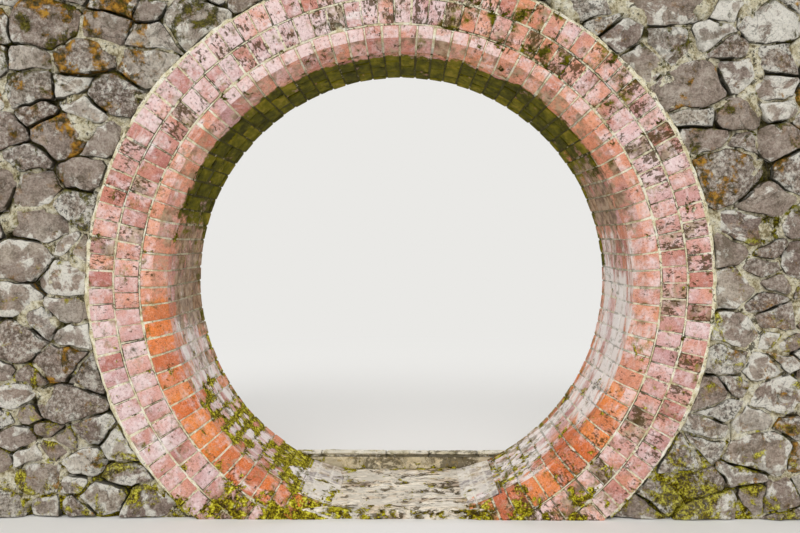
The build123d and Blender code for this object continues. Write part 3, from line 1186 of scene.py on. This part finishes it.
def moss_over(g, share, place, below):
    """Moss: dark olive in the shade of the crown, olive and yellow-green lower down."""
    fleck = g.grain(36, 5.0, 0.66, place) * 0.62 + g.grain(125, 4.0, 0.68, place) * 0.62 - 0.12
    lower = 1 - g.span(g.axes()[2], 0.9, 1.5)
    shaded = g.ramp(fleck, (0.1, 40, 38, 6), (0.5, 72, 68, 10), (0.9, 112, 106, 24))
    lit = g.ramp(fleck, (0.12, 56, 46, 14), (0.36, 104, 88, 20), (0.56, 150, 138, 24), (0.74, 194, 186, 40),
                 (0.98, 230, 224, 98))
    return g.mix(share, below, g.mix(lower, shaded, lit))


def moss_pattern(g):
    """Where moss grows first, in ragged clumps with crumbs round them."""
    return g.grain(15, 8.0, 0.72, None, 0.3)


def lime_pattern(g):
    """Streaks of lime that run down the passage across bricks and joints."""
    return g.grain(15, 6.0, 0.62, g.unrolled(0.35, 1.0, 1.0), 0.2)


def brick_material():
    """Weathered facing brick: fresh orange, salmon, faded pink, bloom, grime and painted shade, dark lichen
    and moss.
    """
    g = Paint("weathered_brick")
    moss, bloom, specks, fresh = g.marks("stain")
    algae, grime_and_shade, lime, red = g.marks("film")
    tone = g.tone()
    own = g.moved(tone)
    faded = g.ramp(tone, (0.0, 208, 146, 130), (0.18, 226, 174, 164), (0.34, 190, 126, 114),
                   (0.48, 204, 160, 160), (0.62, 180, 112, 100), (0.74, 218, 160, 146),
                   (0.86, 228, 188, 186), (1.0, 190, 134, 126))
    salmon = g.ramp(tone, (0.0, 230, 156, 122), (0.25, 220, 146, 116), (0.5, 236, 168, 136),
                    (0.75, 224, 146, 110), (1.0, 232, 158, 122))
    orange = g.ramp(tone, (0.0, 232, 128, 60), (0.25, 238, 144, 74), (0.5, 216, 110, 48),
                    (0.75, 236, 134, 52), (1.0, 208, 100, 46))
    freshness = fresh + (g.grain(9, 4.0, 0.6, own) - 0.5) * 0.2
    colour = g.mix(g.span(freshness, 0.05, 0.45), faded, salmon)
    colour = g.mix(g.span(freshness, 0.55, 0.95), colour, orange)
    colour = g.coat(red, 0.80, (182, 102, 86), colour)

    clay = g.grain(26, 6.0, 0.70, own)
    sand = g.grain(230, 3.0, 0.62)
    colour = g.coats(colour, (clay, 0.55, 1.1, 0.30, (158, 88, 64)),
                     (clay, 0.45, -0.1, 0.18, (248, 208, 186)), (sand, 0.6, 1.1, 0.24, (250, 220, 204)),
                     (sand, 0.4, -0.1, 0.30, (118, 66, 48)))
    powder = g.cover(bloom, g.grain(13, 8.0, 0.74, own, 0.2), 0.60)
    colour = g.coat(powder, 0.72, (242, 224, 224), colour)
    spall = g.span(g.grain(22, 5.0, 0.66, own), 0.98, 1.08) * powder
    colour = g.coat(spall, 0.60, (198, 114, 90), colour)
    crumb = g.grain(85, 5.0, 0.72, own)
    colour = g.coats(colour, (crumb, 0.62, 1.1, 0.50, (140, 92, 68)))
    colour = g.coat(g.span(crumb, 0.38, -0.1) * powder, 0.40, (254, 240, 232), colour)

    colour = g.coat(g.cover(lime, lime_pattern(g), 0.40), 0.86, (250, 246, 242), colour)
    # The grime film's colour; on the chamfer round the crown it stands for painted shade.
    dirt_and_shade = g.ramp(g.grain(20, 5.0, 0.66, own), (0.1, 106, 92, 68), (0.5, 150, 130, 102), (0.9, 182, 162, 134))
    colour = g.mix(g.cover(grime_and_shade, g.grain(14, 5.0, 0.66, own), 0.34) * 0.82, colour, dirt_and_shade)
    shallow = g.moved(tone, g.unrolled(1.0, 0.4, 1.0))
    slime = g.ramp(g.grain(24, 5.0, 0.60, shallow) * 0.50 + tone * 0.50, (0.1, 58, 56, 2), (0.45, 88, 85, 3),
                   (0.7, 112, 106, 8), (0.95, 140, 126, 36))
    colour = g.mix(g.cover(algae * 1.2, g.grain(14, 6.0, 0.68, shallow), 0.34), colour, slime)

    strokes = g.grain(110, 5.0, 0.70, g.moved(tone, g.unrolled(1.0, 1.0, 0.42)), 0.2)
    cluster = g.grain(15, 4.0, 0.6, own) * 0.55 - 0.15
    spots = g.flecks(specks, strokes * 0.75 + cluster)
    colour = g.coat(spots, 0.86, (76, 58, 28), colour)
    growth = g.cover(moss, moss_pattern(g), 0.12)
    g.relief(0.0020, (clay, 0.4), (g.grain(90, 4.0, 0.65, own), 0.3), (sand, 0.12), (growth, 0.9),
             (spots, -0.3), (spall, -0.3))
    return g.finish(moss_over(g, growth, own, colour), 0.88)


def joint_cracks(g, courses, phase, bed_radius):
    """Dark lines where the mortar has shrunk from the bricks, from the place of each brick in the ring."""
    radius, turn = g.polar()
    from_joint = g.math("PINGPONG", turn / math.tau * courses - phase, 0.5)
    pitch = radius * (math.tau / courses)
    gap = (pitch - BRICK_HEIGHT) * 0.5 - from_joint * pitch
    if bed_radius:
        within_bed = g.math("MINIMUM", radius - bed_radius, bed_radius + BED - radius)
        gap = g.math("MAXIMUM", gap, within_bed)
    wobble = g.grain(60, 4.0, 0.6) * 0.0016
    present = g.span(g.grain(9, 4.0, 0.6), 0.32, 0.72)
    return (1 - g.span(gap - wobble, 0.0, 0.0024)) * present


def mortar_material(name, courses=0, phase=0.0, bed_radius=0.0):
    """Pale cream lime mortar, sandy, stained green and brown, with painted shade on the chamfer, cracked
    where it meets the bricks of a ring.
    """
    g = Paint(name)
    moss, _, specks, _ = g.marks("stain")
    algae, grime_and_shade, lime, _ = g.marks("film")
    coarse = g.grain(32, 6.0, 0.68)
    sand = g.grain(240, 3.0, 0.6)
    colour = g.ramp(coarse, (0.0, 192, 178, 138), (0.35, 222, 212, 176), (0.65, 238, 230, 202),
                    (1.0, 248, 244, 226))
    colour = g.coats(colour, (sand, 0.6, 1.1, 0.36, (156, 142, 106)))
    colour = g.coat(g.flecks(specks, g.grain(40, 5.0, 0.7, None, 0.3)), 0.85, (84, 72, 44), colour)
    colour = g.coat(g.cover(lime, lime_pattern(g), 0.40), 0.75, (250, 246, 242), colour)
    # Grime, and painted shade where this mortar lies on the chamfer round the crown.
    colour = g.coat(grime_and_shade, 0.50, (140, 126, 98), colour)
    colour = g.coat(g.cover(algae, g.grain(16, 5.0, 0.7), 0.2), 0.96, (68, 65, 6), colour)
    growth = g.cover(moss, moss_pattern(g), 0.07)
    colour = moss_over(g, growth, None, colour)
    layers = [(coarse, 0.6), (sand, 0.2), (growth, 0.8)]
    if courses:
        cracks = joint_cracks(g, courses, phase, bed_radius)
        colour = g.coat(cracks, 0.88 if bed_radius else 0.45, (58, 48, 26), colour)
        layers.append((cracks, -0.5))
    g.relief(0.003, *layers)
    return g.finish(colour, 0.92)


def bedding_material():
    """Mortar and packing between the stones, pale where it is flush, and dark soil with painted shade where
    it is hollow.
    """
    g = Paint("rubble_bedding")
    moss, _, hollow, _ = g.marks("stain")
    flush = g.marks("film")[0]
    coarse = g.grain(30, 7.0, 0.72)
    grit = g.grain(110, 4.0, 0.65)
    pale = g.ramp(coarse, (0.0, 150, 136, 100), (0.28, 210, 199, 164), (0.6, 232, 223, 194),
                  (1.0, 248, 243, 222))
    # Dark soil and painted shade: the hollow joints, sunk back behind the stones, are coloured near black.
    deep = g.ramp(coarse, (0.2, 50, 47, 22), (0.8, 114, 106, 66))
    colour = g.mix(g.span(flush, 0.25, 0.75), deep, pale)
    colour = g.coats(colour, (grit, 0.65, 0.95, 0.50, (120, 106, 84)))
    colour = g.coat(g.flecks(hollow, g.grain(24, 6.0, 0.72, None, 0.3)), 0.85, (60, 52, 32), colour)
    growth = g.cover(moss, moss_pattern(g), 0.20)
    g.relief(0.006, (coarse, 1.0), (grit, 0.35), (growth, 0.5))
    return g.finish(moss_over(g, growth, None, colour), 0.95)


def stone_material():
    """Grey-brown volcanic rubble: smooth plum stones, pale crust at their edges, pits, lichen, moss, and
    painted shade into the joints.
    """
    g = Paint("rubble_stone")
    moss, pale, darkening, mustard = g.marks("stain")
    rim, plum, pitted, _ = g.marks("film")
    tone = g.tone()
    own = g.moved(tone)
    colour = g.ramp(tone, (0.0, 174, 154, 140), (0.16, 204, 190, 172), (0.32, 144, 124, 115),
                    (0.48, 216, 206, 190), (0.62, 168, 147, 132), (0.78, 228, 219, 204),
                    (0.9, 138, 117, 108), (1.0, 186, 166, 150))
    colour = g.coats(colour, (g.grain(8, 5.0, 0.58, own), 0.50, 1.10, 0.50, (108, 94, 78)))
    core = g.cover(plum, g.grain(6, 4.0, 0.6, own), 0.45)
    colour = g.coat(core, 0.76, (160, 141, 129), colour)
    blotch = g.grain(20, 4.0, 0.56, own, 0.5)
    fine = g.grain(55, 7.0, 0.74, own)
    colour = g.coats(colour, (g.grain(9, 5.0, 0.66, own), 0.80, 1.0, 0.50, (176, 138, 104)),
                     (blotch, 0.50, 1.0, 0.42, (112, 98, 82)), (blotch, 0.45, 0.0, 0.34, (206, 194, 180)),
                     (fine, 0.60, 1.0, 0.30, (72, 62, 46)), (fine, 0.40, 0.0, 0.14, (232, 223, 206)))

    crust = g.cover(pale, g.grain(13, 7.0, 0.64, own, 0.6), 0.18)
    colour = g.coat(crust, 0.86, (250, 246, 234), colour)
    from_vein = g.math("ABSOLUTE", g.grain(6, 5.0, 0.60, own, 0.9) - 0.5)
    veins = (1 - g.span(from_vein, 0.0, 0.07)) * g.span(g.grain(5, 3.0, 0.5, own), 0.45, 0.80)
    colour = g.coat(veins, 0.55, (62, 54, 36), colour)
    pits = pitted * (crust * 0.4 + 0.6)
    colour = g.coat(g.span(fine, 0.58, 0.90) * pits, 0.85, (58, 50, 34), colour)
    colour = g.coat(g.span(fine, 0.42, 0.10) * pitted, 0.62, (244, 240, 228), colour)
    speck = g.grain(120, 5.0, 0.70, own)
    colour = g.coats(colour, (speck, 0.62, 0.95, 0.20, (244, 237, 220)),
                     (speck, 0.38, 0.05, 0.30, (58, 50, 34)))

    colour = g.coat(g.cover(darkening, g.grain(11, 6.0, 0.70, own), 0.25), 0.40, (84, 74, 50), colour)
    # Painted shade with damp: the sides of each stone, where they run down into the joints, are darkened dark
    # olive.
    joint_shade_and_damp = g.span(rim, 0.72, 0.95) * g.span(g.grain(12, 4.0, 0.6), 0.15, 0.40)
    colour = g.coat(joint_shade_and_damp, 0.86, (50, 45, 24), colour)
    rust = g.cover(mustard, g.grain(8, 8.0, 0.72, own, 0.3), 0.18)
    rusted = g.ramp(g.grain(26, 6.0, 0.70, own), (0.1, 54, 46, 6), (0.4, 108, 84, 8), (0.65, 158, 106, 14),
                    (0.95, 204, 152, 44))
    colour = g.mix(rust * 0.90, colour, rusted)
    growth = g.cover(moss, g.grain(9, 8.0, 0.72, own, 0.3), 0.20)
    g.relief(0.010, (g.grain(13, 7.0, 0.66, own), 1.1), (fine, 0.24), (fine * pitted, 0.20), (speck, 0.07),
             (crust, 0.12), (growth, 0.3), (veins, -0.3))
    return g.finish(moss_over(g, growth * 0.92, own, colour), 0.92)


def plates(g, count, place):
    """Split layers, long across the gate: how high each lies, its tone, and the crevice round it, painted
    dark as shade.
    """
    level = g.grain(4.0, 6.0, 0.56, place, 0.3) * count
    whole = g.math("FLOOR", level)
    open_part = g.span(g.grain(5, 3.0, 0.5), 0.0, 0.35)
    crevice_shade = (1 - g.span(level - whole, 0.18, 0.40)) * open_part
    return whole, g.math("FRACT", whole * 0.37), crevice_shade


def thin_joints(g):
    """Where the joints of the bricks under the haunching show through it."""
    _, turn = g.polar()
    course = turn / math.tau * INNER_COURSES
    from_bed = g.math("PINGPONG", course, 0.5) * (math.tau * OPEN_R / INNER_COURSES)
    length = BRICK_LENGTH + BED
    shifted = g.axes()[1] / length + g.math("FLOOR", course) * 0.5
    from_end = g.math("PINGPONG", shifted, 0.5) * length
    nearest = g.math("MINIMUM", from_bed, from_end) + g.grain(40, 4.0, 0.6) * 0.004
    return 1 - g.span(nearest, 0.006, 0.010)


def slab_material(name, *shades, layers=0.0, grey=0.0, joints=False):
    """Split sandstone, or hard mortar, in four shades from dark to pale, and in layers if asked for."""
    g = Paint(name)
    moss, pale, dark, mustard = g.marks("stain")
    lie = g.stretched(0.42, 1.0, 0.7) if layers else g.place
    own = g.moved(g.tone(), lie)
    coarse = g.grain(11, 4.0, 0.60, own, 0.2)
    fine = g.grain(42, 6.0, 0.70, own)
    speck = g.grain(200, 4.0, 0.65, own)
    darkest = tuple(0.55 * part for part in shades[0])
    colour = g.ramp(coarse, (0.0, *shades[0]), (0.35, *shades[1]), (0.65, *shades[2]), (1.0, *shades[3]))
    colour = g.coats(colour, (fine, 0.66, 1.10, 0.60, darkest), (speck, 0.7, 1.0, 0.35, shades[0]),
                     (g.grain(6, 4.0, 0.6), 0.55, 0.90, grey, (158, 150, 152)))
    relief = [(coarse, 1.0), (fine, 0.4), (speck, 0.1)]
    if joints:
        seams = thin_joints(g)
        colour = g.coat(seams, 0.50, shades[3], colour)
        relief.append((seams, -0.3))
    if layers:
        level, shade, crevice_shade = plates(g, layers, lie)
        colour = g.coats(colour, (shade, 0.3, 1.0, 0.35, shades[1]))
        # Painted shade in the crevices between the layers.
        colour = g.coat(crevice_shade, 0.94, (80, 66, 46), colour)
        relief += [(level, 0.8), (crevice_shade, -0.8)]
    # The dark mark: painted shade in the threshold's crevices and under the nosing's lip, dark weathering
    # elsewhere.
    colour = g.coat(g.cover(dark, g.grain(16, 6.0, 0.68, own, 0.3), 0.20), 0.80, (86, 77, 56), colour)
    colour = g.coat(g.cover(pale, g.grain(16, 7.0, 0.72, own, 0.4), 0.20), 0.65, shades[3], colour)
    colour = g.coat(g.cover(mustard, g.grain(20, 8.0, 0.74, own, 0.4), 0.08), 0.6, (172, 146, 80), colour)
    growth = g.cover(moss, moss_pattern(g), 0.12)
    g.relief(0.005, *relief, (growth, 0.5))
    return g.finish(moss_over(g, growth, own, colour), 0.9)


# The pieces

brick = brick_material()
collar_mortar = mortar_material("collar_mortar")
bedding = bedding_material()
stone = stone_material()
haunch_mortar = slab_material("haunch_mortar", (160, 144, 124), (206, 192, 172), (228, 214, 198),
                              (252, 246, 234), grey=0.75, joints=True)
coping_stone = slab_material("coping_stone", (122, 110, 94), (158, 146, 126), (188, 178, 156),
                             (212, 204, 184))
sill_stone = slab_material("sill_stone", (176, 154, 128), (224, 206, 180), (244, 230, 206), (254, 246, 230),
                           layers=4.5, grey=0.20)
nosing_stone = slab_material("nosing_stone", (168, 160, 132), (212, 202, 172), (230, 222, 198),
                             (244, 238, 222))
riser_stone = slab_material("riser_stone", (140, 126, 96), (196, 180, 144), (224, 208, 172), (246, 232, 200))

inner_ring(brick)
face_ring("middle", INNER_OUT, MIDDLE_COURSES, MIDDLE_PHASE, brick)
face_ring("outer", MIDDLE_OUT, OUTER_COURSES, 0.0, brick)
mortar_rings({"inner": mortar_material("inner_mortar", INNER_COURSES),
              "middle": mortar_material("middle_mortar", MIDDLE_COURSES, MIDDLE_PHASE, INNER_OUT),
              "outer": mortar_material("outer_mortar", OUTER_COURSES, 0.0, MIDDLE_OUT)})
for face, facing in FACES.items():
    collar(face, facing, collar_mortar)
rubble_stones(stone)

for node in ("left_wall", "right_wall", "crown_wall", "spandrel_upper_left", "spandrel_upper_right",
             "spandrel_lower_left", "spandrel_lower_right"):
    weathered(node, f"{node}_bedding", 0.026, bedding, "mortar", rubble_bedding, bedding_marks, 0.5)
for number in range(1, 7):
    weathered(f"coping_slab_{number}", f"coping_{number}", 0.018, coping_stone, "slab_stone", coping_wear,
              coping_marks, 0.31 * number % 1)
weathered("threshold", "sill", 0.0065, sill_stone, "slab_stone", riven_sill, sill_marks, 0.5)
weathered("step_riser", "riser", 0.0085, riser_stone, "slab_stone", riser_face, riser_marks, 0.4)
weathered("step_slab", "nosing", 0.0075, nosing_stone, "slab_stone", step_wear, step_marks, step_tone)
for side in ("left", "right"):
    weathered(f"{side}_haunching", f"{side}_haunch", 0.006, haunch_mortar, "mortar", haunch_wear,
              haunch_marks, 0.5)

for name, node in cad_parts.items():
    if name.startswith("core"):
        node.data.materials.clear()
        node.data.materials.append(bedding)


# Stage, light and camera

PALE = (234, 233, 230)
FLOOR_REACH = 40.0
FLOOR_NEAR = 2.4
FLOOR_FAR = 6.0
SKY_BELOW = (0.55, 0.55, 0.55, 1.0)
SKY_ABOVE = (1.0, 1.0, 1.0, 1.0)
LAMP_STRENGTH = 1.0
LAMP_SPREAD = math.radians(40)
LAMP_TILT = math.radians(52)
LAMP_TURN = math.radians(-8)
VIEW_DISTANCE = 3.45
VIEW_SIDE = 0.036
VIEW_RISE = 0.218
VIEW_TILT = math.radians(90 - 2.1)
VIEW_TURN = math.radians(0.57)
LENS = 36.2


def stage():
    """A pale floor that keeps the gate's shadow and passes into the backdrop further out."""
    mesh = bpy.data.meshes.new("floor")
    corners = [(x * FLOOR_REACH, y * FLOOR_REACH, 0) for x, y in ((-1, -1), (1, -1), (1, 1), (-1, 1))]
    mesh.from_pydata(corners, [], [(0, 1, 2, 3)])
    floor = bpy.data.objects.new("floor", mesh)
    bpy.context.scene.collection.objects.link(floor)
    g = Paint("floor_paint")
    mesh.materials.append(g.finish(linear(*PALE), 0.9))
    length = g.node("VectorMath", "Value", {0: g.place}, operation="LENGTH")
    plain = g.node("Emission", 0, {"Color": linear(*PALE)})
    painted = Value(g, g.surface.outputs[0])
    blend = g.node("MixShader", 0, {0: g.span(length, FLOOR_NEAR, FLOOR_FAR), 1: painted, 2: plain})
    g.feed(g.tree.nodes["Material Output"].inputs["Surface"], blend)


def light():
    """Soft light from the sky and from a broad lamp high in front, and a pale backdrop."""
    scene = bpy.context.scene
    scene.view_settings.view_transform = "Standard"
    scene.world = bpy.data.worlds.new("studio")
    scene.world.use_nodes = True
    g = Graph(scene.world.node_tree, "Generated")
    height = g.node("MapRange", "Result", {"Value": g.axes()[2], "From Min": -0.4, "From Max": 1.0})
    sky = g.tree.nodes["Background"]
    g.feed(sky.inputs["Color"], g.mix(height, SKY_BELOW, SKY_ABOVE))
    sky.inputs["Strength"].default_value = 1.0
    backdrop = g.node("Background", 0, {"Color": linear(*PALE)})
    seen = g.node("LightPath", "Is Camera Ray")
    for kind in ("Is Glossy Ray", "Is Transmission Ray"):
        seen = g.math("MAXIMUM", seen, g.node("LightPath", kind))
    switch = g.node("MixShader", 0, {0: seen, 1: Value(g, sky.outputs[0]), 2: backdrop})
    g.feed(g.tree.nodes["World Output"].inputs["Surface"], switch)

    sun = bpy.data.lights.new("soft_key", "SUN")
    sun.energy = LAMP_STRENGTH
    sun.angle = LAMP_SPREAD
    lamp = bpy.data.objects.new("soft_key", sun)
    lamp.rotation_euler = (LAMP_TILT, 0, LAMP_TURN)
    scene.collection.objects.link(lamp)


def camera():
    """The photograph's viewpoint, in front of the face and a little above the middle of the opening."""
    lens = bpy.data.cameras.new("view")
    lens.sensor_width = 36.0
    lens.lens = LENS
    lens.clip_end = 200
    eye = bpy.data.objects.new("view", lens)
    eye.location = (VIEW_SIDE, -FACE_Y - VIEW_DISTANCE, CENTRE_Z + VIEW_RISE)
    eye.rotation_euler = (VIEW_TILT, 0, VIEW_TURN)
    bpy.context.scene.collection.objects.link(eye)
    bpy.context.scene.camera = eye


stage()
light()
camera()
